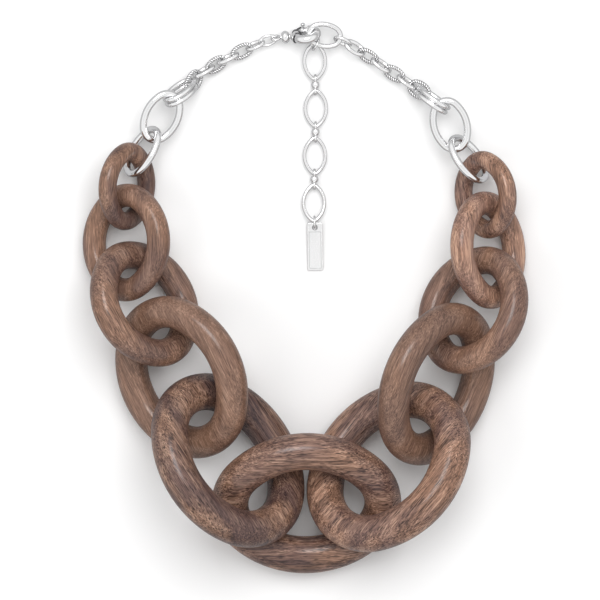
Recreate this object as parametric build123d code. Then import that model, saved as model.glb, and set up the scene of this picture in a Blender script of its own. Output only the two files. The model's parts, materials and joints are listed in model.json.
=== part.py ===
from build123d import *
import math
import os
import numpy as np

# Statement chain necklace: eleven wood links on a polished metal end chain, a
# spring ring clasp and an extender with a blank end tag, lying closed on a table.
# Millimetres. Origin: bottom centre of the whole necklace. +Z up, +Y towards the
# clasp, +X to the right of the loop seen from above.
#
# A link is a closed tube on a four-arc oval. Its shape is
#   (half length, half width, end arc radius, wire radius), all on the centreline.
# Its pose is a centre and three angles in degrees:
#   heading of the long axis in the table plane, roll about the long axis, pitch.

# ---- driving dimensions: link shapes -------------------------------------
WOOD_CENTER = (29.033, 21.627, 16.229, 7.096)
WOOD_1 = (28.726, 23.216, 19.831, 7.074)
WOOD_2 = (26.061, 20.142, 16.304, 6.134)
WOOD_3 = (20.173, 16.952, 11.748, 5.314)
WOOD_4 = (17.985, 13.951, 9.883, 4.456)
WOOD_5 = (13.293, 10.592, 7.056, 3.480)
BIG_OVAL = (9.45, 6.25, 5.0, 1.37)
JUMP_OVAL = (6.85, 4.6, 3.8, 0.93)
FIRST_SMALL = (4.15, 2.8, 2.45, 0.75)
SMALL = (3.84, 2.28, 1.85, 0.77)
PLAIN_SMALL = (3.35, 2.15, 1.8, 0.66)
PLAIN_LAST = (3.1, 1.95, 1.6, 0.52)
CONNECTING = (3.1, 2.35, 2.1, 0.70)
CATCH = (6.05, 4.2, 3.7, 0.93)
MARQUISE = (6.75, 3.99, 1.5, 0.68)

JUMP_PAIR_SPACING = 2.04      # between the two rings of a jump ring pair

# ---- driving dimensions: spring ring clasp --------------------------------
CLASP_CENTRE = (0.367, 99.890, 5.350)
CLASP_X = (0.98907, 0.10396, 0.10453)      # from the swivel towards the catch ring
CLASP_Z = (-0.14110, 0.87298, 0.46690)     # normal of the ring
RING_R = 3.9                  # centreline radius of the clasp ring
RING_TUBE_R = 1.72
BORE_R = 1.2
GAP_FROM, GAP_TO = 80.0, 114.0     # the opening, degrees round the ring
BORE_END = 288.0
SOCKET_R, SOCKET_DEPTH = 1.12, 10.0
SLOT_W, SLOT_END = 1.0, 152.0
BOLT_R, BOLT_FROM, BOLT_TO = 1.0, 74.0, 155.0
KNOB_ANGLE = 107.0
COLLAR_ANGLE, COLLAR_WIDTH = 158.5, 5.0
COLLAR_RI, COLLAR_RO = 1.75, 2.03
SPRING_R, SPRING_WIRE_R, SPRING_TURNS = 0.80, 0.13, 9
SPRING_FROM, SPRING_TO = 156.4, 286.5
EYE_R, EYE_WIRE_R, EYE_AT = 1.42, 0.60, -11.75

# ---- driving dimensions: extender and tag ---------------------------------
EXT_Z = 1.87                  # height of the extender chain above the table
MARQUISE_X = (3.45, 4.00, 3.66, 3.28)
CONNECTOR_X = (3.80, 3.88, 3.46)
MARQUISE_1_TOP = (3.62, 96.55, 3.60)      # wire centre at the jump ring
MARQUISE_PITCH_Y = 17.98      # from one marquise link to the next
MARQUISE_1_BOTTOM_Y = 83.16
MARQUISE_4_END_Z = 2.78       # the last one rests on the top of the tag
CONNECTOR_HALF = 2.24         # waist centre to eye centre
CONNECTOR_EYE_R, CONNECTOR_WIRE_R = 1.37, 0.48
WAIST_R, WAIST_END_R, WAIST_LEN = 1.55, 1.18, 2.2
JUMP_C = (4.020, 96.253, 4.595)
JUMP_N = (0.882, -0.445, -0.155)
JUMP_R, JUMP_WIRE_R = 2.28, 0.43
TAG_RING_C = (3.50, 28.45, 2.73)
TAG_RING_R, TAG_RING_WIRE_R = 2.30, 0.40
TAG_W, TAG_L, TAG_T = 5.9, 18.0, 0.9
TAG_TOP = (3.60, 28.41)       # middle of the top edge, seen from above
TAG_TILT, TAG_TURN = 3.44, 0.8
TAG_HOLE_R, TAG_HOLE_DROP = 1.1, 1.75
TAG_CLEAR = 0.02              # the low edge stands this far above the table

# ---- where every oval link lies ---------------------------------------------
LINKS = [
    ("wood_link_center", WOOD_CENTER, (0.386, -78.124, 16.180), (0.68, 24.53, 1.34)),
    ("wood_link_left_1", WOOD_1, (-29.422, -61.832, 21.247), (122.27, 37.17, 2.67)),
    ("wood_link_left_2", WOOD_2, (-46.967, -30.286, 16.601), (115.61, -28.71, 1.71)),
    ("wood_link_left_3", WOOD_3, (-61.081, -2.466, 14.955), (118.98, 34.32, 0.91)),
    ("wood_link_left_4", WOOD_4, (-67.981, 20.868, 12.054), (88.69, -28.56, 1.22)),
    ("wood_link_left_5", WOOD_5, (-67.810, 42.249, 11.335), (84.72, 46.81, -0.01)),
    ("wood_link_right_1", WOOD_1, (31.645, -64.224, 19.993), (50.10, -30.51, 2.00)),
    ("wood_link_right_2", WOOD_2, (49.671, -32.892, 20.210), (67.50, 44.12, 2.03)),
    ("wood_link_right_3", WOOD_3, (63.775, -4.811, 15.646), (66.10, -30.97, 4.62)),
    ("wood_link_right_4", WOOD_4, (69.362, 17.985, 14.304), (94.42, 44.82, 2.16)),
    ("wood_link_right_5", WOOD_5, (68.494, 39.028, 11.810), (98.64, -38.83, 3.02)),
    ("shoulder_link_left", BIG_OVAL, (-61.921, 55.487, 8.385), (59.59, -52.21, 0.79)),
    ("oval_link_left", BIG_OVAL, (-54.649, 68.642, 9.047), (63.45, 15.23, -6.97)),
    ("jump_ring_left", JUMP_OVAL, (-47.492, 78.027, 7.255), (40.64, -62.26, 27.74)),
    ("small_link_left_1", FIRST_SMALL, (-42.517, 82.170, 4.285), (60.37, 30.33, 11.86)),
    ("small_link_left_2", SMALL, (-38.513, 86.071, 3.258), (28.87, -69.52, 3.82)),
    ("small_link_left_3", SMALL, (-34.002, 88.519, 3.139), (33.98, 18.00, -0.94)),
    ("small_link_left_4", SMALL, (-29.444, 91.001, 3.446), (24.85, -72.07, 0.04)),
    ("small_link_left_5", SMALL, (-24.132, 93.600, 3.585), (26.45, 18.77, -1.10)),
    ("small_link_left_6", PLAIN_SMALL, (-19.072, 95.943, 3.679), (23.40, -62.84, -1.76)),
    ("small_link_left_7", PLAIN_LAST, (-14.331, 97.751, 3.979), (16.97, 30.06, -2.42)),
    ("shoulder_link_right", BIG_OVAL, (62.005, 52.657, 8.770), (125.70, 50.81, 3.11)),
    ("oval_link_right", BIG_OVAL, (55.118, 65.553, 8.913), (107.01, -3.51, -3.51)),
    ("jump_ring_right", JUMP_OVAL, (48.280, 75.147, 6.978), (143.09, 81.61, 19.59)),
    ("small_link_right_1", FIRST_SMALL, (43.257, 79.019, 4.078), (149.70, -5.64, 16.22)),
    ("small_link_right_2", SMALL, (38.694, 81.976, 3.186), (144.72, 67.12, -0.19)),
    ("small_link_right_3", SMALL, (33.820, 85.146, 3.357), (148.17, -23.84, 0.03)),
    ("small_link_right_4", SMALL, (28.888, 88.500, 3.401), (144.15, 60.32, 0.16)),
    ("small_link_right_5", SMALL, (23.901, 91.773, 3.729), (148.41, -37.32, -4.59)),
    ("small_link_right_6", SMALL, (18.855, 94.942, 4.305), (147.55, 43.09, -6.23)),
    ("connecting_ring", CONNECTING, (14.263, 97.423, 5.109), (154.93, -66.94, -9.27)),
    ("catch_ring", CATCH, (7.358, 99.711, 5.558), (170.28, -4.75, -2.06)),
]


def oval_tube(a, b, re, r):
    big = ((a - re) ** 2 + b * b - re * re) / (2 * (b - re))
    ex, sy = a - re, big - b
    al = math.atan2(sy, ex)
    px, py = ex + re * math.cos(al), re * math.sin(al)
    path = Wire([
        ThreePointArc((px, -py), (a, 0), (px, py)),
        ThreePointArc((px, py), (0, b), (-px, py)),
        ThreePointArc((-px, py), (-a, 0), (-px, -py)),
        ThreePointArc((-px, -py), (0, -b), (px, -py)),
    ])
    return sweep(Plane(origin=path @ 0, z_dir=path % 0) * Circle(r), path=path)


def rotation(psi, th, ph):
    s, t, p = (math.radians(v) for v in (psi, th, ph))
    rz = np.array([[math.cos(s), -math.sin(s), 0], [math.sin(s), math.cos(s), 0], [0, 0, 1]])
    ry = np.array([[math.cos(p), 0, math.sin(p)], [0, 1, 0], [-math.sin(p), 0, math.cos(p)]])
    rx = np.array([[1, 0, 0], [0, math.cos(t), -math.sin(t)], [0, math.sin(t), math.cos(t)]])
    return rz @ ry @ rx


def frame(centre, x_dir, z_dir):
    return Plane(origin=tuple(float(v) for v in centre),
                 x_dir=tuple(float(v) for v in x_dir), z_dir=tuple(float(v) for v in z_dir))


os.makedirs("parts", exist_ok=True)


def save(name, solid):
    got = solid.solids()
    assert len(got) == 1, (name, len(got))
    one = got[0]
    assert one.is_valid, name
    one.label = name
    export_step(one, "parts/%s.step" % name)


# ---- oval links ----------------------------------------------------------------
poses = {}
for name, shape, centre, angles in LINKS:
    r3 = rotation(*angles)
    poses[name] = (np.array(centre), r3)
    tube = oval_tube(*shape)
    if name.startswith("jump_ring"):
        for tag, side in (("a", 1), ("b", -1)):
            at = np.array(centre) + r3[:, 2] * side * JUMP_PAIR_SPACING / 2
            save("%s_%s" % (name, tag), frame(at, r3[:, 0], r3[:, 2]) * tube)
    else:
        save(name, frame(centre, r3[:, 0], r3[:, 2]) * tube)


# ---- clasp ----------------------------------------------------------------------
def torus_arc(radius, section, start, stop):
    # tube of the ring between two angles, measured from +x towards +y
    ring = revolve(Plane.XZ * Pos(radius, 0) * section, axis=Axis.Z, revolution_arc=stop - start)
    return Rot(0, 0, start) * ring


cl = frame(CLASP_CENTRE, CLASP_X, CLASP_Z)

ring = torus_arc(RING_R, Circle(RING_TUBE_R), GAP_TO, GAP_FROM + 360)
ring -= torus_arc(RING_R, Circle(BORE_R), GAP_TO - 1, BORE_END)
ring -= torus_arc(RING_R, Circle(SOCKET_R), GAP_FROM - SOCKET_DEPTH, GAP_FROM + 1)
slot = torus_arc(RING_R, Pos(0, 1.5) * Rectangle(SLOT_W, 3.0), GAP_TO - 1, SLOT_END)
ring -= slot
save("clasp_ring", cl * ring)

for name, mid in (("clasp_collar_upper", -COLLAR_ANGLE), ("clasp_collar_lower", COLLAR_ANGLE)):
    band = torus_arc(RING_R, Circle(COLLAR_RO) - Circle(COLLAR_RI),
                     mid - COLLAR_WIDTH / 2, mid + COLLAR_WIDTH / 2)
    save(name, cl * band)

# bolt: a bent rod with a rounded nose
bolt = torus_arc(RING_R, Circle(BOLT_R), BOLT_FROM, BOLT_TO)
save("clasp_bolt", cl * bolt)

# thumb knob: a stem standing on the bolt through the slot, with a round head
ka = math.radians(KNOB_ANGLE)
prof = Polyline((0, 1.02), (0.40, 1.02), (0.40, 2.20), (0.66, 2.20), (0.80, 2.36),
                (0.80, 2.86), (0.72, 3.04), (0.50, 3.18), (0, 3.22), close=True)
knob = revolve(Plane.XZ * make_face(prof), axis=Axis.Z)
save("clasp_thumb_knob", cl * Pos(RING_R * math.cos(ka), RING_R * math.sin(ka), 0) * knob)

# return spring: a fine coil lying in the bore behind the bolt
pts = []
n = SPRING_TURNS * 14
for i in range(n + 1):
    f = i / n
    t = math.radians(SPRING_FROM + (SPRING_TO - SPRING_FROM) * f)
    w = 2 * math.pi * SPRING_TURNS * f
    rr = RING_R + SPRING_R * math.cos(w)
    pts.append((rr * math.cos(t), rr * math.sin(t), SPRING_R * math.sin(w)))
coil = Spline(*pts)
spring = sweep(Plane(origin=coil @ 0, z_dir=coil % 0) * Circle(SPRING_WIRE_R), path=coil)
save("clasp_spring", cl * spring)

# end dome: a turned cap that saddles the ring and holds the swivel
dome_prof = Polyline((-4.02, 0), (-4.02, 2.92), (-4.20, 3.16), (-4.62, 3.36), (-5.10, 3.38),
                     (-5.62, 3.20), (-6.10, 2.86), (-6.50, 2.44), (-6.70, 2.10), (-6.70, 0), close=True)
dome = revolve(make_face(dome_prof), axis=Axis.X)
dome -= torus_arc(RING_R, Circle(RING_TUBE_R + 0.03), 90, 270)
dome -= torus_arc(RING_R, Circle(COLLAR_RO + 0.08), 100, 163)
dome -= torus_arc(RING_R, Circle(COLLAR_RO + 0.08), 197, 260)
dome -= Plane(origin=(-6.75, 0, 0), x_dir=(0, 1, 0), z_dir=(1, 0, 0)) * extrude(Circle(1.2), 0.80)
save("clasp_dome", cl * dome)

# swivel bead: a barrel on the end of the dome, bored for the swivel shank
b0, b1 = -6.72, -9.40
bead_arc = ThreePointArc((b0, 1.75), ((b0 + b1) / 2, 2.45), (b1, 1.62))
bead_face = make_face([bead_arc, Line((b1, 1.62), (b1, 0.75)), Line((b1, 0.75), (b0, 0.75)),
                       Line((b0, 0.75), (b0, 1.75))])
save("clasp_swivel_bead", cl * revolve(bead_face, axis=Axis.X))

# eye: small ring for the last chain link, with a headed shank that turns in the bead
_, last = poses["small_link_left_7"]
cx, cz = np.array(CLASP_X), np.array(CLASP_Z)
cy = np.cross(cz, cx)
eye_n = np.cross(last[:, 2], cx)
eye_n /= np.linalg.norm(eye_n)
eye_local = (0.0, float(eye_n @ cy), float(eye_n @ cz))
eye = Plane(origin=(EYE_AT, 0, 0), x_dir=(1, 0, 0), z_dir=eye_local) * Torus(EYE_R, EYE_WIRE_R)
along = Plane(origin=(EYE_AT + EYE_R, 0, 0), x_dir=(0, 1, 0), z_dir=(1, 0, 0))
eye += along * extrude(Circle(0.60), -6.30 - (EYE_AT + EYE_R))
head = Plane(origin=(-6.56, 0, 0), x_dir=(0, 1, 0), z_dir=(1, 0, 0)) * extrude(Circle(1.0), 0.44)
eye += head
save("clasp_eye", cl * eye)

# ---- extender --------------------------------------------------------------------
jn = np.array(JUMP_N) / np.linalg.norm(JUMP_N)
save("extender_jump_ring", frame(JUMP_C, np.cross((0, 0, 1.0), jn), jn) * Torus(JUMP_R, JUMP_WIRE_R))

marquise = oval_tube(*MARQUISE)
for i in range(4):
    bottom_y = MARQUISE_1_BOTTOM_Y - MARQUISE_PITCH_Y * i
    x0 = MARQUISE_X[i]
    low = np.array((x0, bottom_y, EXT_Z))
    top = np.array((x0, bottom_y + 2 * MARQUISE[0], EXT_Z))
    if i == 0:
        low = np.array((x0 + 0.15, bottom_y, EXT_Z))
        top = np.array(MARQUISE_1_TOP)
    if i == 3:
        low = np.array((x0, bottom_y, MARQUISE_4_END_Z))
    xd = top - low
    xd /= np.linalg.norm(xd)
    side = np.cross(np.array((0, 0, 1.0)), xd)
    zd = np.cross(xd, side)
    save("extender_oval_%d" % (i + 1), frame((low + top) / 2, xd, zd / np.linalg.norm(zd)) * marquise)

eye_ring = Torus(CONNECTOR_EYE_R, CONNECTOR_WIRE_R)
h = WAIST_LEN / 2
waist = make_face([ThreePointArc((h, WAIST_END_R), (0, WAIST_R), (-h, WAIST_END_R)),
                   Line((-h, WAIST_END_R), (-h, 0)), Line((-h, 0), (h, 0)), Line((h, 0), (h, WAIST_END_R))])
connector = revolve(waist, axis=Axis.X)
for s in (1, -1):
    connector += Pos(s * CONNECTOR_HALF, 0, 0) * eye_ring
for i in range(3):
    top_eye = MARQUISE_1_BOTTOM_Y - MARQUISE_PITCH_Y * i
    low_eye = MARQUISE_1_BOTTOM_Y - MARQUISE_PITCH_Y * (i + 1) + 2 * MARQUISE[0]
    at = (CONNECTOR_X[i], (top_eye + low_eye) / 2, EXT_Z)
    save("extender_connector_%d" % (i + 1), frame(at, (0, 1, 0), (1, 0, 0)) * connector)

save("tag_ring", frame(TAG_RING_C, (0, 0, 1), (1, 0, 0)) * Torus(TAG_RING_R, TAG_RING_WIRE_R))

tag = extrude(RectangleRounded(TAG_W, TAG_L, 0.5), TAG_T)
tag = fillet(tag.faces().sort_by(Axis.Z)[-1].edges(), 0.12)
tag -= Pos(0, TAG_L / 2 - TAG_HOLE_DROP, -0.5) * extrude(Circle(TAG_HOLE_R), TAG_T + 1)
groove = extrude(Pos(0, -1.35) * (RectangleRounded(TAG_W - 1.2, TAG_L - 3.9, 0.3)
                                  - RectangleRounded(TAG_W - 1.66, TAG_L - 4.36, 0.2)), 1)
tag -= Pos(0, 0, TAG_T - 0.06) * groove
tt, tr = math.radians(TAG_TILT), math.radians(TAG_TURN)
long_dir = np.array((-math.sin(tr) * math.cos(tt), math.cos(tr) * math.cos(tt), math.sin(tt)))
wide_dir = np.array((math.cos(tr), math.sin(tr), 0.0))
up = np.cross(wide_dir, long_dir)
top_z = TAG_CLEAR + TAG_L * math.sin(tt)
tag_at = np.array((TAG_TOP[0], TAG_TOP[1], top_z)) - long_dir * TAG_L / 2
save("end_tag", frame(tag_at, wide_dir, up) * tag)
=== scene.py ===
import json
import math

import bpy
import numpy as np
from mathutils import Matrix, Vector


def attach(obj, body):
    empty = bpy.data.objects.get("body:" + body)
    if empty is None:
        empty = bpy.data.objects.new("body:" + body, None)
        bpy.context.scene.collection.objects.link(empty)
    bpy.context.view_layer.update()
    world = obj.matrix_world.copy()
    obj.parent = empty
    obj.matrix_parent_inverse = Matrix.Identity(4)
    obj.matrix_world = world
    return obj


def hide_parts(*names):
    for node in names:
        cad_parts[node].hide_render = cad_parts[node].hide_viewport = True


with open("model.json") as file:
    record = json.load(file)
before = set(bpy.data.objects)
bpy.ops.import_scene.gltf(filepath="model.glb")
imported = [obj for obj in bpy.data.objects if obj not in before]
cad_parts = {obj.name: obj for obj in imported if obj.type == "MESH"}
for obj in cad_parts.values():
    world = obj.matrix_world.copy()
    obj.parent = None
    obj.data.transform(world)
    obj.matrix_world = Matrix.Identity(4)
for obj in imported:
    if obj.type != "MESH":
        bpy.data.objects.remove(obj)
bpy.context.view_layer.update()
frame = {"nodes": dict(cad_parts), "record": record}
MM = 0.001
C = bpy.context.scene.collection

# ---------------------------------------------------------------- record lookups
rec = frame["record"]
body_of_node = {n: b for b, ns in rec["behaviour"]["bodies"].items() for n in ns}
slot_of_node = {s["node"]: s["material_slot"] for s in rec["subparts"]}


def rng(seed):
    return np.random.default_rng(seed)


# ---------------------------------------------------------------- node material helpers
class Nodes:
    """Short notation for building a shader tree."""

    def __init__(self, tree):
        self.t = tree

    def add(self, kind, **kw):
        n = self.t.nodes.new(kind)
        for k, v in kw.items():
            setattr(n, k, v)
        return n

    def link(self, a, b):
        self.t.links.new(a, b)

    def val(self, sock, v):
        if isinstance(v, bpy.types.NodeSocket):
            self.link(v, sock)
        else:
            sock.default_value = v

    def math(self, op, a, b=0.0, c=None, clamp=False):
        n = self.add("ShaderNodeMath", operation=op, use_clamp=clamp)
        self.val(n.inputs[0], a)
        self.val(n.inputs[1], b)
        if c is not None:
            self.val(n.inputs[2], c)
        return n.outputs[0]

    def vmul(self, v, s):
        n = self.add("ShaderNodeVectorMath", operation="MULTIPLY")
        self.val(n.inputs[0], v)
        n.inputs[1].default_value = s
        return n.outputs[0]

    def vadd(self, v, w):
        n = self.add("ShaderNodeVectorMath", operation="ADD")
        self.val(n.inputs[0], v)
        self.val(n.inputs[1], w)
        return n.outputs[0]

    def noise(self, vec, scale=1.0, detail=4.0, rough=0.5, dist=0.0, color=False):
        n = self.add("ShaderNodeTexNoise")
        self.link(vec, n.inputs["Vector"])
        n.inputs["Scale"].default_value = scale
        n.inputs["Detail"].default_value = detail
        n.inputs["Roughness"].default_value = rough
        n.inputs["Distortion"].default_value = dist
        return n.outputs["Color"] if color else n.outputs["Fac"]

    def voronoi(self, vec, scale=1.0, feature="F1", rand=1.0):
        n = self.add("ShaderNodeTexVoronoi", feature=feature)
        self.link(vec, n.inputs["Vector"])
        n.inputs["Scale"].default_value = scale
        n.inputs["Randomness"].default_value = rand
        return n.outputs["Distance"]

    def ramp(self, fac, stops, interp="LINEAR"):
        n = self.add("ShaderNodeValToRGB")
        n.color_ramp.interpolation = interp
        el = n.color_ramp.elements
        while len(el) > 2:
            el.remove(el[-1])
        for i, (p, c) in enumerate(stops):
            e = el[i] if i < 2 else el.new(p)
            e.position = p
            e.color = (c[0], c[1], c[2], 1.0) if not isinstance(c, (int, float)) else (c, c, c, 1.0)
        self.link(fac, n.inputs[0])
        return n.outputs[0]

    def remap(self, v, a, b, c, d):
        n = self.add("ShaderNodeMapRange")
        self.link(v, n.inputs[0])
        for i, x in enumerate((a, b, c, d)):
            n.inputs[i + 1].default_value = x
        return n.outputs[0]

    def mix(self, fac, a, b, mode="MIX"):
        n = self.add("ShaderNodeMix", data_type="RGBA", blend_type=mode)
        self.val(n.inputs[0], fac)
        for s, v in ((n.inputs[6], a), (n.inputs[7], b)):
            if isinstance(v, bpy.types.NodeSocket):
                self.link(v, s)
            else:
                s.default_value = (v[0], v[1], v[2], 1.0)
        return n.outputs[2]

    def attr(self, name, out="Vector"):
        n = self.add("ShaderNodeAttribute", attribute_name=name)
        return n.outputs[out]

    def bump(self, height, dist_mm, strength, prev=None):
        n = self.add("ShaderNodeBump")
        n.inputs["Strength"].default_value = strength
        n.inputs["Distance"].default_value = dist_mm * MM
        self.link(height, n.inputs["Height"])
        if prev is not None:
            self.link(prev, n.inputs["Normal"])
        return n.outputs[0]


def new_material(name):
    m = bpy.data.materials.new(name)
    m.use_nodes = True
    k = Nodes(m.node_tree)
    b = m.node_tree.nodes["Principled BSDF"]
    return m, k, b


def srgb(r, g, b):
    def f(v):
        v /= 255.0
        return v / 12.92 if v <= 0.04045 else ((v + 0.055) / 1.055) ** 2.4
    return (f(r), f(g), f(b))


def wood_material():
    m, k, b = new_material("walnut_wood")
    p = k.attr("loc")                       # millimetres in the link's own frame, x along the grain
    tone = k.attr("tone", "Vector")         # x brightness, y purple share, z pore share
    sep = k.add("ShaderNodeSeparateXYZ")
    k.link(tone, sep.inputs[0])
    t_bright, t_purple, t_pore = sep.outputs
    # the grain wanders a little
    warp = k.noise(k.vmul(p, (0.016, 0.03, 0.03)), 1.0, 2.0, 0.5, color=True)
    wv = k.add("ShaderNodeVectorMath", operation="MULTIPLY_ADD")
    k.link(warp, wv.inputs[0])
    wv.inputs[1].default_value = (0.0, 2.6, 2.6)
    k.link(p, wv.inputs[2])
    q = wv.outputs[0]
    band = k.noise(k.vmul(q, (0.007, 0.24, 0.24)), 1.0, 3.0, 0.55)
    streak = k.noise(k.vmul(q, (0.020, 1.35, 1.35)), 1.0, 4.0, 0.66)
    fibre = k.noise(k.vmul(q, (0.085, 3.0, 3.0)), 1.0, 3.0, 0.70)
    patch = k.noise(k.vmul(q, (0.026, 0.070, 0.070)), 1.0, 3.0, 0.55)
    # pores: short dark dashes along the grain, and longer open ones
    pore = k.remap(k.voronoi(k.vmul(q, (0.30, 1.75, 1.75)), 1.0), 0.16, 0.36, 1.0, 0.0)
    long_p = k.remap(k.voronoi(k.vadd(k.vmul(q, (0.10, 1.15, 1.15)), (7.3, 1.1, 4.7)), 1.0), 0.17, 0.30, 1.0, 0.0)
    pore_mask = k.remap(k.noise(k.vmul(q, (0.03, 0.12, 0.12)), 1.0, 2.0), 0.32, 0.50, 0.30, 1.0)
    pore_all = k.math("MULTIPLY", k.math("MAXIMUM", k.math("MULTIPLY", pore, 0.85), long_p),
                      k.math("MULTIPLY", pore_mask, t_pore), clamp=True)

    mix1 = k.math("ADD", k.math("MULTIPLY", band, 0.30),
                  k.math("ADD", k.math("MULTIPLY", streak, 0.36), k.math("MULTIPLY", fibre, 0.34)))
    col = k.ramp(mix1, [(0.39, srgb(46, 32, 28)), (0.46, srgb(98, 73, 61)),
                        (0.52, srgb(132, 101, 85)), (0.60, srgb(172, 140, 120))])
    # links with few pores are also the evenly coloured ones
    col = k.mix(k.remap(t_pore, 0.3, 1.0, 0.50, 0.0), col, srgb(138, 106, 88))
    purple = k.math("MULTIPLY", k.remap(patch, 0.43, 0.56, 0.0, 1.0), t_purple, clamp=True)
    col = k.mix(k.math("MULTIPLY", purple, 0.90), col, k.mix(0.62, col, srgb(58, 44, 52)))
    warm = k.remap(patch, 0.32, 0.48, 0.6, 0.0)
    col = k.mix(k.math("MULTIPLY", warm, 0.35), col, srgb(150, 110, 84))
    fine_c = k.remap(fibre, 0.34, 0.66, 0.78, 1.22)
    cm = k.add("ShaderNodeVectorMath", operation="SCALE")
    k.link(col, cm.inputs[0])
    k.link(k.math("MULTIPLY", fine_c, t_bright), cm.inputs["Scale"])
    col = k.mix(k.math("MULTIPLY", pore_all, 0.88), cm.outputs[0], srgb(30, 21, 20))
    k.link(col, b.inputs["Base Color"])
    rough = k.math("ADD", k.remap(fibre, 0.3, 0.7, 0.36, 0.48), k.math("MULTIPLY", pore_all, 0.25))
    k.link(rough, b.inputs["Roughness"])
    b.inputs["Specular IOR Level"].default_value = 0.22
    b.inputs["Coat Weight"].default_value = 0.50
    b.inputs["Coat Roughness"].default_value = 0.14
    b.inputs["Coat IOR"].default_value = 1.45
    h = k.math("SUBTRACT", k.math("MULTIPLY", fibre, 0.5), k.math("MULTIPLY", pore_all, 0.9))
    k.link(k.bump(h, 0.08, 0.45), b.inputs["Normal"])
    k.link(k.bump(h, 0.06, 0.22), b.inputs["Coat Normal"])
    return m


def metal_material(name, base, r0, r1, scratch=0.12, brushed=0.0, tarnish=0.06, cuts=False):
    m, k, b = new_material(name)
    p = k.attr("loc")
    big = k.noise(k.vmul(p, (0.22, 0.22, 0.22)), 1.0, 3.0)
    mid = k.noise(k.vmul(p, (1.3, 1.3, 1.3)), 1.0, 4.0)
    scr = k.noise(k.vmul(p, (1.2, 14.0, 14.0)), 1.0, 3.0, 0.7)
    scr2 = k.noise(k.vmul(p, (15.0, 1.5, 11.0)), 1.0, 3.0, 0.7)
    rub = k.remap(k.math("ADD", k.math("MULTIPLY", big, 0.5), k.math("MULTIPLY", mid, 0.5)), 0.35, 0.65, 0.0, 1.0)
    col = k.mix(k.math("MULTIPLY", k.remap(mid, 0.52, 0.75, 0.0, 1.0), tarnish), base,
                (base[0] * 0.72, base[1] * 0.70, base[2] * 0.68))
    # painted shade: the base colour of the milled grooves is darkened towards near black by the groove depth the milled
    # links carry
    if cuts:
        groove_shade_split = k.add("ShaderNodeSeparateXYZ")
        k.link(k.attr("tone"), groove_shade_split.inputs[0])
        col = k.mix(k.math("MULTIPLY", groove_shade_split.outputs[0], 0.85, clamp=True), col, (0.10, 0.10, 0.105))
    k.link(col, b.inputs["Base Color"])
    b.inputs["Metallic"].default_value = 1.0
    rough = k.remap(rub, 0.0, 1.0, r0, r1)
    rough = k.math("ADD", rough, k.remap(scr, 0.62, 0.78, 0.0, 0.10))
    k.link(rough, b.inputs["Roughness"])
    n1 = k.bump(k.math("ADD", scr, scr2), 0.012, scratch)
    n2 = k.bump(mid, 0.03, 0.10 + brushed, n1)
    k.link(n2, b.inputs["Normal"])
    return m


def tag_material():
    m, k, b = new_material("tag_plate")
    p = k.attr("loc")
    brush = k.noise(k.vmul(p, (9.0, 0.22, 1.0)), 1.0, 4.0, 0.7)
    mid = k.noise(k.vmul(p, (0.5, 0.35, 0.5)), 1.0, 3.0)
    col = k.mix(k.remap(mid, 0.4, 0.7, 0.0, 0.25), (1.0, 1.0, 1.0), (0.90, 0.90, 0.905))
    border_shade_z = k.add("ShaderNodeSeparateXYZ")
    k.link(p, border_shade_z.inputs[0])
    # painted shade: the bevelled border below the tag's face is darkened in the base colour
    col = k.mix(k.remap(border_shade_z.outputs["Z"], 0.0, 0.035, 1.0, 0.0), col, (0.70, 0.70, 0.705))
    k.link(col, b.inputs["Base Color"])
    b.inputs["Metallic"].default_value = 1.0
    k.link(k.math("ADD", k.remap(mid, 0.3, 0.7, 0.12, 0.18), k.remap(brush, 0.35, 0.65, 0.0, 0.06)),
           b.inputs["Roughness"])
    k.link(k.bump(brush, 0.006, 0.25), b.inputs["Normal"])
    return m


MAT = {
    "walnut_wood": wood_material(),
    "polished_metal": metal_material("polished_metal", (0.88, 0.88, 0.885), 0.07, 0.15),
    "milled_metal": metal_material("milled_metal", (0.88, 0.88, 0.885), 0.16, 0.27, scratch=0.2, cuts=True),
    "clasp_metal": metal_material("clasp_metal", (0.87, 0.87, 0.875), 0.08, 0.17),
    "bolt_metal": metal_material("bolt_metal", (0.82, 0.82, 0.83), 0.14, 0.24, scratch=0.2),
    "spring_wire": metal_material("spring_wire", (0.60, 0.60, 0.62), 0.25, 0.35),
    "seam_metal": metal_material("seam_metal", (0.20, 0.20, 0.205), 0.22, 0.34, scratch=0.2),
    "tag_plate": tag_material(),
}


# ---------------------------------------------------------------- mesh helpers
def make_object(name, verts, faces, loc=None, tone=None, smooth=True):
    """verts in metres in the row frame; loc is the millimetre coordinate the materials read."""
    me = bpy.data.meshes.new(name)
    me.from_pydata([tuple(v) for v in verts], [], [tuple(f) for f in faces])
    me.validate()
    me.update()
    if smooth:
        me.polygons.foreach_set("use_smooth", [True] * len(me.polygons))
    if loc is not None:
        a = me.attributes.new("loc", "FLOAT_VECTOR", "POINT")
        a.data.foreach_set("vector", np.asarray(loc, dtype=np.float32).ravel())
    if tone is not None:
        a = me.attributes.new("tone", "FLOAT_VECTOR", "POINT")
        tone = np.asarray(tone, dtype=np.float32)
        a.data.foreach_set("vector", tone.ravel() if tone.ndim == 2 else np.tile(tone, len(verts)))
    o = bpy.data.objects.new(name, me)
    C.objects.link(o)
    return o


def grid_faces(n, m, wrap_n=True, wrap_m=True, off=0):
    f = []
    for i in range(n if wrap_n else n - 1):
        for j in range(m if wrap_m else m - 1):
            i2, j2 = (i + 1) % n, (j + 1) % m
            f.append((off + i * m + j, off + i2 * m + j, off + i2 * m + j2, off + i * m + j2))
    return f


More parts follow.
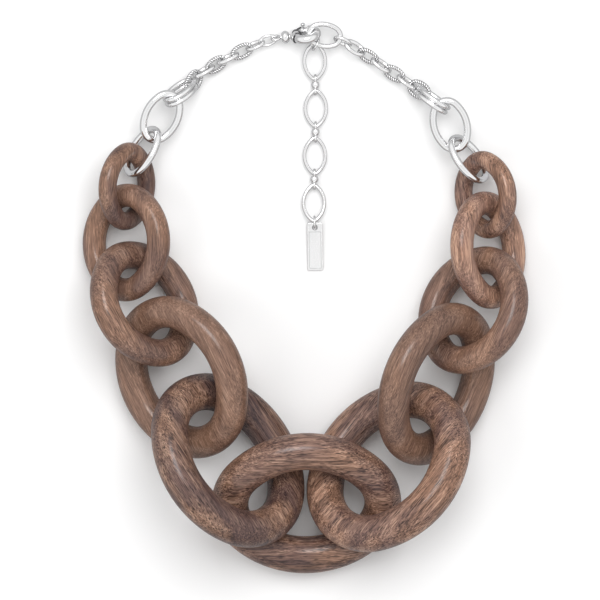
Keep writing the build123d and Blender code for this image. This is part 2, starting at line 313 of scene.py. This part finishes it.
def oval_path(a, b, re, n):
    """n points round a four-arc oval, with outward normals and arc length, local mm."""
    big = ((a - re) ** 2 + b * b - re * re) / (2 * (b - re))
    ex, sy = a - re, big - b
    al = math.atan2(sy, ex)
    be = math.pi / 2 - al
    l1, l2 = 2 * al * re, 2 * be * big
    total = 2 * (l1 + l2)
    s = np.arange(n) * total / n
    pts, nor = np.zeros((n, 2)), np.zeros((n, 2))
    for i, d in enumerate(s):
        # start at the middle of the right end
        d = (d + l1 / 2) % total
        if d < l1:
            t = -al + d / re
            c, r = (ex, 0.0), re
        elif d < l1 + l2:
            t = al + (d - l1) / big
            c, r = (0.0, -sy), big
        elif d < 2 * l1 + l2:
            t = math.pi - al + (d - l1 - l2) / re
            c, r = (-ex, 0.0), re
        else:
            t = math.pi + al + (d - 2 * l1 - l2) / big
            c, r = (0.0, sy), big
        nor[i] = (math.cos(t), math.sin(t))
        pts[i] = (c[0] + r * nor[i][0], c[1] + r * nor[i][1])
    return pts, nor, s, total


def mesh_frame(node):
    """Centre and axes (long, short, normal) of a link from its CAD mesh, in mm."""
    me = frame["nodes"][node].data
    n = len(me.vertices)
    v = np.empty(n * 3)
    me.vertices.foreach_get("co", v)
    v = v.reshape(-1, 3) * 1000.0
    me.calc_loop_triangles()
    t = np.empty(len(me.loop_triangles) * 3, dtype=np.int64)
    me.loop_triangles.foreach_get("vertices", t)
    tri = v[t.reshape(-1, 3)]
    area = np.linalg.norm(np.cross(tri[:, 1] - tri[:, 0], tri[:, 2] - tri[:, 0]), axis=1) / 2
    cen = tri.mean(1)
    c = (cen * area[:, None]).sum(0) / area.sum()
    cov = np.einsum("n,ni,nj->ij", area, cen - c, cen - c) / area.sum()
    for k in range(3):                       # corner terms sharpen the axes
        cov += np.einsum("n,ni,nj->ij", area, tri[:, k] - c, tri[:, k] - c) / area.sum() / 3
    w, e = np.linalg.eigh(cov)
    x, y, z = e[:, 2], e[:, 1], e[:, 0]
    if z[2] < 0:
        z = -z
    if np.dot(np.cross(z, x), y) < 0:
        y = -y
    loc = (v - c) @ np.column_stack([x, y, z])
    return c, np.column_stack([x, y, z]), loc


def smooth_noise(u, v, seed, waves, amp):
    """A periodic low-frequency ripple on a tube: u, v in radians."""
    g = rng(seed)
    out = np.zeros_like(u)
    for _ in range(waves):
        a, b = g.integers(1, 7), g.integers(-2, 3)
        out += g.normal() * np.sin(a * u + b * v + g.uniform(0, 2 * math.pi)) / (1 + 0.35 * a)
    return amp * out / max(1e-9, np.abs(out).max())


def link_mesh(node, shape, kind, seed, tone=None):
    a, b, re, r = shape
    c, ax, _ = mesh_frame(node)
    wood = kind == "wood"
    n = (300 if wood else 260 if kind == "milled" else 180)
    m = (64 if wood else 32)
    pts, nor, s, total = oval_path(a, b, re, n)
    ph = np.linspace(0, 2 * math.pi, m, endpoint=False)
    U, V = np.meshgrid(2 * math.pi * s / total, ph, indexing="ij")
    rad = np.full_like(U, r)
    if wood:
        # hand sanded: a slow ripple and soft flats, always inwards
        rip = smooth_noise(U, V, seed, 9, 0.5)
        rad -= 0.008 * r * (0.6 + rip)
        rad -= 0.006 * r * (0.5 + 0.5 * np.cos(4 * V + 0.7 * np.sin(U + seed)))
    elif kind == "milled":
        # a rope-like milled surface: close diagonal cuts all the way round
        k = round(total / 0.92)
        w = 0.5 + 0.5 * np.cos(k * U + 3 * V)
        rad -= 0.21 * r * w ** 1.5
        # groove depth, stored so the milled metal paints shade into the cuts
        tone = np.stack([w ** 1.5, 0 * w, 0 * w], -1).reshape(-1, 3)
        rad -= 0.010 * r * (0.5 + smooth_noise(U, V, seed, 6, 0.5))
    else:
        rad -= 0.006 * r * (0.5 + smooth_noise(U, V, seed, 6, 0.5))
        # the closed join of the wire: a hairline across one long side
        j = np.angle(np.exp(1j * (U - math.pi / 2 - 0.12))) * total / (2 * math.pi)
        rad -= 0.030 * np.exp(-(j / 0.07) ** 2)
    N = nor[:, None, :]
    P = np.zeros((n, m, 3))
    P[:, :, 0] = pts[:, None, 0] + rad * np.cos(V) * N[:, :, 0]
    P[:, :, 1] = pts[:, None, 1] + rad * np.cos(V) * N[:, :, 1]
    P[:, :, 2] = rad * np.sin(V)
    loc = P.reshape(-1, 3)
    world = (c + loc @ ax.T) * MM
    off = rng(seed).uniform(-400, 400, 3)
    name = "look_" + node
    o = make_object(name, world, grid_faces(n, m), loc + off, tone)
    return o


def finish_piece(o, node, slot=None, mat=None, replaced=True):
    slot = slot or slot_of_node[node]
    o.data.materials.clear()
    o.data.materials.append(MAT[mat or slot])
    if replaced:
        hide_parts(node)
    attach(o, body_of_node[node])


# ---------------------------------------------------------------- shapes of the links, mm
WOOD = {
    "wood_link_center": (29.033, 21.627, 16.229, 7.096),
    "1": (28.726, 23.216, 19.831, 7.074),
    "2": (26.061, 20.142, 16.304, 6.134),
    "3": (20.173, 16.952, 11.748, 5.314),
    "4": (17.985, 13.951, 9.883, 4.456),
    "5": (13.293, 10.592, 7.056, 3.480),
}
BIG, JUMP, FIRST, SMALL = (9.45, 6.25, 5.0, 1.37), (6.85, 4.6, 3.8, 0.93), (4.15, 2.8, 2.45, 0.75), (3.84, 2.28, 1.85, 0.77)
PLAIN, PLAIN_LAST, CONNECT, CATCH = (3.35, 2.15, 1.8, 0.66), (3.1, 1.95, 1.6, 0.52), (3.1, 2.35, 2.1, 0.70), (6.05, 4.2, 3.7, 0.93)
MARQ = (6.75, 3.99, 1.5, 0.68)
# brightness, purple share, pore share of each wood link
TONE = {
    "wood_link_center": (1.20, 0.65, 1.0),
    "wood_link_left_1": (0.97, 1.00, 1.0), "wood_link_left_2": (0.93, 0.10, 0.38),
    "wood_link_left_3": (1.02, 0.60, 0.65), "wood_link_left_4": (1.05, 0.60, 0.45),
    "wood_link_left_5": (0.97, 0.95, 0.55),
    "wood_link_right_1": (1.27, 0.75, 0.90), "wood_link_right_2": (0.89, 0.35, 0.45),
    "wood_link_right_3": (1.08, 0.55, 0.50), "wood_link_right_4": (1.50, 0.60, 0.60),
    "wood_link_right_5": (1.26, 0.80, 0.75),
}
MILLED = {"small_link_left_1", "small_link_left_3", "small_link_left_5",
          "small_link_right_1", "small_link_right_3", "small_link_right_5"}


def shape_of(node):
    if node == "wood_link_center":
        return WOOD[node], "wood"
    if node.startswith("wood_link"):
        return WOOD[node[-1]], "wood"
    if node.startswith(("shoulder_link", "oval_link")):
        return BIG, "plain"
    if node.startswith("jump_ring"):
        return JUMP, "plain"
    if node.startswith("extender_oval"):
        return MARQ, "plain"
    table = {"connecting_ring": CONNECT, "catch_ring": CATCH, "small_link_left_6": PLAIN,
             "small_link_left_7": PLAIN_LAST, "small_link_left_1": FIRST, "small_link_right_1": FIRST}
    if node in table or node.startswith("small_link"):
        return table.get(node, SMALL), ("milled" if node in MILLED else "plain")
    return None, None


seed = 11
for node in sorted(frame["nodes"]):
    shape, kind = shape_of(node)
    if shape is None:
        continue
    seed += 7
    o = link_mesh(node, shape, kind, seed, TONE.get(node))
    finish_piece(o, node)


# ---------------------------------------------------------------- turned and bent parts
def rows_from_profile(prof, sub=4):
    """Resample a list of (x, r) so corners stay crisp but round."""
    out = [prof[0]]
    for a, b in zip(prof[:-1], prof[1:]):
        for i in range(1, sub + 1):
            t = i / sub
            out.append((a[0] + (b[0] - a[0]) * t, a[1] + (b[1] - a[1]) * t))
    return out


def lathe(prof, seg, M, off, cap=True):
    """prof: list of (x, r) along local x. M: a 4x4 numpy taking local mm to row mm; not used."""
    n = len(prof)
    t = np.linspace(0, 2 * math.pi, seg, endpoint=False)
    loc = np.array([[(x, r * math.cos(a), r * math.sin(a)) for a in t] for x, r in prof]).reshape(-1, 3)
    faces = grid_faces(n, seg, wrap_n=False)
    return loc, faces


def tube_arc(R, rad_fn, a0, a1, n, seg, ends="round"):
    """Bent rod round z at radius R between two angles; ends closed with domes or flats. local mm."""
    pts, ang = [], np.radians(np.linspace(a0, a1, n))
    t = np.linspace(0, 2 * math.pi, seg, endpoint=False)
    rows = []

    def ring(center, e_r, r, shift=0.0, tan=None):
        row = []
        for a in t:
            p = center + r * (math.cos(a) * e_r + math.sin(a) * np.array([0, 0, 1.0]))
            if tan is not None:
                p = p + tan * shift
            row.append(p)
        rows.append(row)

    def at(al):
        e = np.array([math.cos(al), math.sin(al), 0.0])
        return e * R, e, np.array([-math.sin(al), math.cos(al), 0.0])

    c, e, tg = at(ang[0])
    r0 = rad_fn(0.0)
    if ends == "round":
        for q in np.radians([88, 70, 50, 30, 12]):
            ring(c, e, r0 * math.cos(q) * 1.0, -(r0 * 0.5) * math.sin(q), tg)
    elif ends == "bevel":
        ring(c, e, r0 * 0.02, 0.0, tg)
        ring(c, e, r0 * 0.90, 0.0, tg)
        ring(c, e, r0 * 0.97, 0.03, tg)
    for i, al in enumerate(ang):
        c, e, tg = at(al)
        if ends == "bevel" and i in (0, n - 1):
            continue
        ring(c, e, rad_fn(i / (n - 1)))
    c, e, tg = at(ang[-1])
    r1 = rad_fn(1.0)
    if ends == "round":
        for q in np.radians([12, 30, 50, 70, 88]):
            ring(c, e, r1 * math.cos(q), (r1 * 0.5) * math.sin(q), tg)
    elif ends == "bevel":
        ring(c, e, r1 * 0.97, -0.03, tg)
        ring(c, e, r1 * 0.90, 0.0, tg)
        ring(c, e, r1 * 0.02, 0.0, tg)
    loc = np.array(rows).reshape(-1, 3)
    return loc, grid_faces(len(rows), seg, wrap_n=False)


def place(loc, origin, x, z):
    x = np.asarray(x, float) / np.linalg.norm(x)
    z = np.asarray(z, float) / np.linalg.norm(z)
    y = np.cross(z, x)
    return (np.asarray(origin) + loc @ np.column_stack([x, y, z]).T)


def joined(parts):
    vs, fs, ls, off = [], [], [], 0
    for loc, faces in parts:
        vs.append(loc)
        fs += [tuple(i + off for i in f) for f in faces]
        off += len(loc)
    return np.vstack(vs), fs


CL_O = np.array((0.367, 99.890, 5.350))
CL_X = np.array((0.98907, 0.10396, 0.10453))
CL_Z = np.array((-0.14110, 0.87298, 0.46690))


def clasp_piece(node, loc, faces, seed, mat="clasp_metal"):
    w = place(loc, CL_O, CL_X, CL_Z) * MM
    o = make_object("look_" + node, w, faces, loc + rng(seed).uniform(-90, 90, 3))
    finish_piece(o, node, mat=mat)
    return o


SEG = 56

# the clasp ring: a bent tube with an open mouth and a hollow bore
def c_tube():
    """C-shaped hollow tube: outer skin, rounded lips and bore; the knob slot is cut in after it is built."""
    R, ro, ri = 3.9, 1.660, 1.21
    a0, a1 = 114.0, 440.0
    n = 240
    m = SEG
    ph = np.linspace(0, 2 * math.pi, m, endpoint=False)
    rows = []

    def row(al, r, shift=0.0):
        al = math.radians(al)
        e = np.array([math.cos(al), math.sin(al), 0.0])
        tg = np.array([-math.sin(al), math.cos(al), 0.0])
        return [e * R + r * (math.cos(p) * e + math.sin(p) * np.array([0, 0, 1.0])) + tg * shift for p in ph]

    # inside of the bore, from deep in the tube out to the mouth, over the lip, round the outside, and into the socket
    for al in np.linspace(a0 + 34, a0, 14):
        rows.append(row(al, ri))
    for q in (0.0, 0.25, 0.5, 0.75, 1.0):
        th = math.pi * q
        mid, half = (ro + ri) / 2, (ro - ri) / 2
        rows.append(row(a0, mid - half * math.cos(th), -0.10 * math.sin(th)))
    for al in np.linspace(a0, a1, n):
        rows.append(row(al, ro))
    for q in (0.0, 0.25, 0.5, 0.75, 1.0):
        th = math.pi * q
        mid, half = (ro + 1.13) / 2, (ro - 1.13) / 2
        rows.append(row(a1, mid + half * math.cos(th), 0.10 * math.sin(th)))
    for al in np.linspace(a1, a1 - 9.5, 6):
        rows.append(row(al, 1.13))
    rows.append(row(a1 - 9.6, 0.02))
    loc = np.array(rows).reshape(-1, 3)
    return loc, grid_faces(len(rows), m, wrap_n=False)


loc, faces = c_tube()
# cut the knob slot by dropping the faces over it, on the side the knob stands on
cen = np.array([loc[list(f)].mean(0) for f in faces])
ang = np.degrees(np.arctan2(cen[:, 1], cen[:, 0])) % 360
rr = np.hypot(cen[:, 0], cen[:, 1])
keep = ~((ang > 98.5) & (ang < 153.0) & (np.abs(rr - 3.9) < 0.60) & (cen[:, 2] > 0.9))
faces = [f for f, k_ in zip(faces, keep) if k_]
ring_obj = clasp_piece("clasp_ring", loc, faces, 501)
# the cut edge is closed by giving the skin its wall thickness there
sol = ring_obj.modifiers.new("wall", "SOLIDIFY")
sol.thickness = 0.10 * MM
sol.offset = 0.0

# collars
for node, mid in (("clasp_collar_upper", -158.5), ("clasp_collar_lower", 158.5)):
    R = 3.9
    prof = []
    a0, a1 = mid - 2.5, mid + 2.5
    ph = np.linspace(0, 2 * math.pi, SEG, endpoint=False)
    rows = []
    ring_list = [(a0, 1.752), (a0, 1.95), (a0 + 0.35, 2.015), (a0 + 1.1, 2.028), (mid, 2.03), (a1 - 1.1, 2.028),
                 (a1 - 0.35, 2.015), (a1, 1.95), (a1, 1.752)]
    for al, r in ring_list:
        al = math.radians(al)
        e = np.array([math.cos(al), math.sin(al), 0.0])
        rows.append([e * R + r * (math.cos(p) * e + math.sin(p) * np.array([0, 0, 1.0])) for p in ph])
    loc = np.array(rows).reshape(-1, 3)
    clasp_piece(node, loc, grid_faces(len(rows), SEG, wrap_n=True), 530 + int(mid), mat="seam_metal")

# bolt
loc, faces = tube_arc(3.9, lambda t: 0.995, 76.0, 153.0, 60, SEG, "round")
clasp_piece("clasp_bolt", loc, faces, 560, mat="bolt_metal")

# thumb knob: stem and a knurled head
ka = math.radians(107.0)
kc = np.array([3.9 * math.cos(ka), 3.9 * math.sin(ka), 0.0])
prof = [(1.02, 0.0), (1.02, 0.39), (2.16, 0.39), (2.20, 0.43), (2.22, 0.66), (2.28, 0.74), (2.36, 0.785), (2.45, 0.795),
        (2.60, 0.795), (2.78, 0.795), (2.86, 0.78), (2.98, 0.72), (3.08, 0.62), (3.15, 0.48), (3.20, 0.28), (3.22, 0.0)]
prof = rows_from_profile(prof, 3)
seg = 96
t = np.linspace(0, 2 * math.pi, seg, endpoint=False)
rows = []
for z, r in prof:
    kn = 0.035 * (0.5 - 0.5 * np.cos(16 * t)) if 2.36 < z < 2.88 else 0.0 * t
    rows.append(np.column_stack([(r - kn) * np.cos(t), (r - kn) * np.sin(t), np.full(seg, z)]))
loc = np.vstack(rows) + kc
clasp_piece("clasp_thumb_knob", loc, grid_faces(len(prof), seg, wrap_n=False), 570, mat="bolt_metal")


def remeshed(name, parts, voxel_mm, smooth_n, to_world, seed, M_off=(0, 0, 0)):
    """Joins overlapping closed shells into one skin with soft inside corners."""
    loc, faces = joined(parts)
    o = make_object(name + "_tmp", loc * MM, faces)
    r = o.modifiers.new("r", "REMESH")
    r.mode = "VOXEL"
    r.voxel_size = voxel_mm * MM
    r.use_smooth_shade = True
    s = o.modifiers.new("s", "SMOOTH")
    s.factor = 0.5
    s.iterations = smooth_n
    dg = bpy.context.evaluated_depsgraph_get()
    ev = o.evaluated_get(dg)
    me = ev.to_mesh()
    n = len(me.vertices)
    v = np.empty(n * 3)
    me.vertices.foreach_get("co", v)
    v = v.reshape(-1, 3) * 1000.0
    f = [tuple(p.vertices) for p in me.polygons]
    ev.to_mesh_clear()
    bpy.data.objects.remove(o)
    w = to_world(v) * MM
    return make_object(name, w, f, v + rng(seed).uniform(-90, 90, 3))


def torus(R, r, n, m, centre=(0, 0, 0), axis="z"):
    u = np.linspace(0, 2 * math.pi, n, endpoint=False)
    v = np.linspace(0, 2 * math.pi, m, endpoint=False)
    U, V = np.meshgrid(u, v, indexing="ij")
    P = np.stack([(R + r * np.cos(V)) * np.cos(U), (R + r * np.cos(V)) * np.sin(U), r * np.sin(V)], -1).reshape(-1, 3)
    if axis == "x":
        P = P[:, [2, 0, 1]]
    return P + np.asarray(centre), grid_faces(n, m)


def capped_lathe(prof, seg):
    loc, faces = lathe(prof, seg, None, 0)
    n = len(prof)
    faces = faces + [tuple(range(seg - 1, -1, -1)), tuple((n - 1) * seg + i for i in range(seg))]
    return loc, faces


# end dome: turned cap with a raised rim, cut back where it saddles the ring
prof = [(-4.02, 0.02), (-4.02, 2.86), (-4.06, 2.96), (-4.20, 3.13), (-4.40, 3.26), (-4.62, 3.34), (-4.86, 3.375), (-5.10, 3.37),
        (-5.36, 3.30), (-5.62, 3.19), (-5.86, 3.05), (-6.10, 2.86), (-6.30, 2.67), (-6.50, 2.43), (-6.62, 2.24),
        (-6.69, 2.10), (-6.70, 0.02)]
loc, faces = capped_lathe(rows_from_profile(prof, 2), 72)
dome = clasp_piece("clasp_dome", loc, faces, 600)
for nm, R_, r_, lo_, hi_ in (("cut_a", 3.9, 1.76, 90, 270), ("cut_b", 3.9, 2.11, 100, 162.5), ("cut_c", 3.9, 2.11, 197.5, 260)):
    l2, f2 = tube_arc(R_, lambda t, r_=r_: r_, lo_, hi_, 48, 40, "flat")
    nrow = len(l2) // 40
    f2 = f2 + [tuple(range(39, -1, -1)), tuple((nrow - 1) * 40 + i for i in range(40))]
    cut = make_object(nm, place(l2, CL_O, CL_X, CL_Z) * MM, f2)
    md = dome.modifiers.new(nm, "BOOLEAN")
    md.operation = "DIFFERENCE"
    md.object = cut
    md.solver = "EXACT"
dg = bpy.context.evaluated_depsgraph_get()
new_me = bpy.data.meshes.new_from_object(dome.evaluated_get(dg))
dome.modifiers.clear()
old = dome.data
dome.data = new_me
bpy.data.meshes.remove(old)
for nm in ("cut_a", "cut_b", "cut_c"):
    bpy.data.objects.remove(bpy.data.objects[nm])
print("dome verts", len(dome.data.vertices))
dome.data.materials.clear()
dome.data.materials.append(MAT["clasp_metal"])

# swivel bead
prof = []
for i in range(25):
    f = i / 24
    x = -6.74 + (-9.40 + 6.74) * f
    # arc through (1.75, 2.45, 1.62)
    r = 2.45 - (0.70 * (1 - 2 * f) ** 2 if f < 0.5 else 0.83 * (2 * f - 1) ** 2)
    prof.append((x, r))
prof = [(-6.74, 0.76), (-6.74, 1.70)] + prof[1:-1] + [(-9.40, 1.56), (-9.40, 0.80), (-9.30, 0.76), (-6.74, 0.76)]
loc, faces = lathe(prof, 64, None, 0)
clasp_piece("clasp_swivel_bead", loc, faces, 610)


# swivel eye: small ring on a headed shank, seen through one CAD node
def eye_frame():
    me = frame["nodes"]["clasp_eye"].data
    v = np.array([x.co[:] for x in me.vertices]) * 1000.0
    cx = CL_X / np.linalg.norm(CL_X)
    cz = CL_Z / np.linalg.norm(CL_Z)
    cy = np.cross(cz, cx)
    l = (v - CL_O) @ np.column_stack([cx, cy, cz])
    ringv = l[l[:, 0] < -11.2] - np.array([-11.75, 0, 0])
    w, e = np.linalg.eigh(ringv.T @ ringv)
    n = e[:, 0]
    n[0] = 0.0
    n /= np.linalg.norm(n)
    return n


en = eye_frame()
tor, tf = torus(1.42, 0.60, 72, 28)
tor = place(tor, (-11.75, 0, 0), (1, 0, 0), en)
sh = [(-10.33, 0.02), (-10.33, 0.60), (-6.58, 0.60), (-6.56, 0.70), (-6.56, 0.98), (-6.50, 1.0), (-6.16, 1.0), (-6.12, 0.96), (-6.12, 0.02)]
sl, sf = capped_lathe(rows_from_profile(sh, 2), 40)
# a small round collar where the shank meets the ring; built, but not joined into the eye
cl_p = [(-10.10, 0.02), (-10.10, 0.62), (-10.02, 0.80), (-9.88, 0.88), (-9.74, 0.80), (-9.66, 0.62), (-9.66, 0.02)]
c2, cf = capped_lathe(rows_from_profile(cl_p, 2), 40)
eye = remeshed("look_clasp_eye", [(tor, tf), (sl, sf)], 0.075, 3,
               lambda v: place(v, CL_O, CL_X, CL_Z), 620)
finish_piece(eye, "clasp_eye", mat="clasp_metal")

# ---------------------------------------------------------------- extender
def connector(node, seed):
    me = frame["nodes"][node].data
    v = np.array([x.co[:] for x in me.vertices]) * 1000.0
    c = (v.max(0) + v.min(0)) / 2
    parts = []
    for s in (1, -1):
        parts.append(torus(1.37, 0.48, 64, 24, (s * 2.24, 0, 0)))
    w = []
    for i in range(17):
        f = -1 + 2 * i / 16
        x = 1.1 * f
        w.append((x, 1.55 - 0.37 * f * f))
    w = [(-1.1, 0.02)] + w + [(1.1, 0.02)]
    parts.append(capped_lathe(w, 48))
    o = remeshed("look_" + node, parts, 0.08, 2,
                 lambda q: place(q, c, (0, 1, 0), (1, 0, 0)), seed)
    finish_piece(o, node)


for i in (1, 2, 3):
    connector("extender_connector_%d" % i, 640 + i)


def wire_ring(node, R, r, seed):
    c, ax, _ = mesh_frame(node)
    n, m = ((96, 28))
    U, V = np.meshgrid(np.linspace(0, 2 * math.pi, n, endpoint=False), np.linspace(0, 2 * math.pi, m, endpoint=False), indexing="ij")
    j = np.angle(np.exp(1j * (U - 0.7))) * R
    rad = r - 0.03 * np.exp(-(j / 0.06) ** 2) - 0.006 * r * (0.5 + smooth_noise(U, V, seed, 6, 0.5))
    P = np.stack([(R + rad * np.cos(V)) * np.cos(U), (R + rad * np.cos(V)) * np.sin(U), rad * np.sin(V)], -1).reshape(-1, 3)
    # the thin axis of a round ring is its normal
    o = make_object("look_" + node, (c + P @ ax.T) * MM, grid_faces(n, m), P + rng(seed).uniform(-90, 90, 3))
    finish_piece(o, node)


wire_ring("extender_jump_ring", 2.28, 0.43, 660)
wire_ring("tag_ring", 2.30, 0.40, 661)

# ---------------------------------------------------------------- end tag, spring: CAD shapes, dressed
def dress(node, seed):
    """Returns the CAD object with its centre, axes and local millimetre coordinates."""
    ob = frame["nodes"][node]
    c, ax, loc = mesh_frame(node)
    return ob, c, ax, loc


def bevel_plate():
    ob, c, ax, loc = dress("end_tag", 0)
    # long axis of the tag is x of the frame
    me = ob.data.copy()
    me.name = "look_end_tag"
    o = bpy.data.objects.new("look_end_tag", me)
    C.objects.link(o)
    a = me.attributes.new("loc", "FLOAT_VECTOR", "POINT")
    face_z = loc[:, 2].max()
    # the border below the face is where the tag material paints shade
    lz = np.column_stack([loc[:, 1], loc[:, 0], loc[:, 2] - face_z + 0.045])   # above 0 on the face, below in its border
    a.data.foreach_set("vector", lz.astype(np.float32).ravel())
    return o


tag_obj = bevel_plate()
finish_piece(tag_obj, "end_tag")

sp = frame["nodes"]["clasp_spring"]
sp.data.materials.clear()
mm, kk, bb = new_material("spring_wire_cad")
tc = kk.add("ShaderNodeTexCoord")
nz = kk.noise(kk.vmul(tc.outputs["Object"], (2000.0, 2000.0, 2000.0)), 1.0, 3.0)
kk.link(kk.mix(nz, (0.55, 0.55, 0.57), (0.68, 0.68, 0.70)), bb.inputs["Base Color"])
bb.inputs["Metallic"].default_value = 1.0
kk.link(kk.remap(nz, 0.3, 0.7, 0.22, 0.36), bb.inputs["Roughness"])
kk.link(kk.bump(nz, 0.01, 0.2), bb.inputs["Normal"])
sp.data.materials.append(mm)

# ---------------------------------------------------------------- stage, light, camera
fm, fkk, fb = new_material("stage_floor")
tcf = fkk.add("ShaderNodeTexCoord")
fn = fkk.noise(fkk.vmul(tcf.outputs["Object"], (30.0, 30.0, 30.0)), 1.0, 4.0)
fl_col = fkk.mix(fn, (0.90, 0.90, 0.902), (0.915, 0.915, 0.915))
# painted reflection: polished pieces mirror a darker table than the camera sees, standing in for black card set beside
# jewellery
lpf = fkk.add("ShaderNodeLightPath")
fkk.link(fkk.mix(lpf.outputs["Is Glossy Ray"], fl_col, (0.47, 0.47, 0.475)), fb.inputs["Base Color"])
fb.inputs["Roughness"].default_value = 0.85
fb.inputs["Specular IOR Level"].default_value = 0.1
fv = [(-4, -4, -0.00005), (4, -4, -0.00005), (4, 4, -0.00005), (-4, 4, -0.00005)]
floor = make_object("stage_floor", fv, [(0, 1, 2, 3)], smooth=False)
floor.data.materials.append(fm)

world = bpy.data.worlds.new("studio")
bpy.context.scene.world = world
world.use_nodes = True
wt = Nodes(world.node_tree)
bg = world.node_tree.nodes["Background"]
tc = wt.add("ShaderNodeTexCoord")
sp_ = wt.add("ShaderNodeSeparateXYZ")
wt.link(tc.outputs["Generated"], sp_.inputs[0])
# what the pieces mirror: a bright ceiling that falls off to a darker wall, and one softbox overhead
mirror = wt.ramp(sp_.outputs["Z"],
                 [(0.0, 0.40), (0.12, 0.48), (0.28, 0.74), (0.46, 0.98), (0.66, 1.0), (0.86, 1.0), (1.0, 0.86)])
box_d = Vector((-0.10, 0.42, 1.0)).normalized()
dotn = wt.add("ShaderNodeVectorMath", operation="DOT_PRODUCT")
wt.link(tc.outputs["Generated"], dotn.inputs[0])
dotn.inputs[1].default_value = box_d
spot = wt.remap(dotn.outputs["Value"], math.cos(math.radians(15)), math.cos(math.radians(8)), 0.0, 9.0)
spm = wt.add("ShaderNodeVectorMath", operation="ADD")
wt.link(mirror, spm.inputs[0])
wt.link(spot, spm.inputs[1])
mirror = spm.outputs[0]
soft = wt.ramp(sp_.outputs["Z"], [(0.0, 0.46), (0.5, 0.66), (1.0, 0.78)])
lp = wt.add("ShaderNodeLightPath")
seen = wt.mix(lp.outputs["Is Glossy Ray"], soft, mirror)
wt.link(wt.mix(lp.outputs["Is Camera Ray"], seen, (0.93, 0.93, 0.935)), bg.inputs["Color"])
bg.inputs["Strength"].default_value = 1.0


def area(name, loc, target, sx, sy, power, spread=None):
    d = bpy.data.lights.new(name, "AREA")
    d.shape = "RECTANGLE"
    d.size, d.size_y = sx, sy
    d.energy = power
    o = bpy.data.objects.new(name, d)
    C.objects.link(o)
    o.location = loc
    v = Vector(target) - Vector(loc)
    o.rotation_mode = "QUATERNION"
    o.rotation_quaternion = v.to_track_quat("-Z", "Y")
    o.visible_camera = False
    if spread is not None:
        d.spread = spread
    return o


key = area("key_top", (0.16, 0.42, 1.15), (0, 0, 0), 0.9, 0.9, 9.0)
key.visible_glossy = False
fill = area("fill_left", (-0.8, -0.3, 0.9), (0, 0, 0), 0.7, 0.7, 2.6)
fill.visible_glossy = False

cam_d = bpy.data.cameras.new("camera")
cam_d.lens = 1200.0          # nearly orthographic, and short enough that other views stay inside their far clip
cam_d.sensor_width = 36.0
cam = bpy.data.objects.new("camera", cam_d)
C.objects.link(cam)
W = 0.228
dist = (W / 2) / math.tan(math.atan(18.0 / cam_d.lens))
cam.location = (-0.002027, -0.000962, dist + 0.012)
cam.rotation_mode = "QUATERNION"
cam.rotation_quaternion = Vector((0, 0, -1)).to_track_quat("-Z", "Y")
cam_d.clip_start, cam_d.clip_end = 0.5, 100.0
bpy.context.scene.camera = cam
vs = bpy.context.scene.view_settings
vs.view_transform = "Standard"
vs.look = "None"
vs.exposure = 0.0
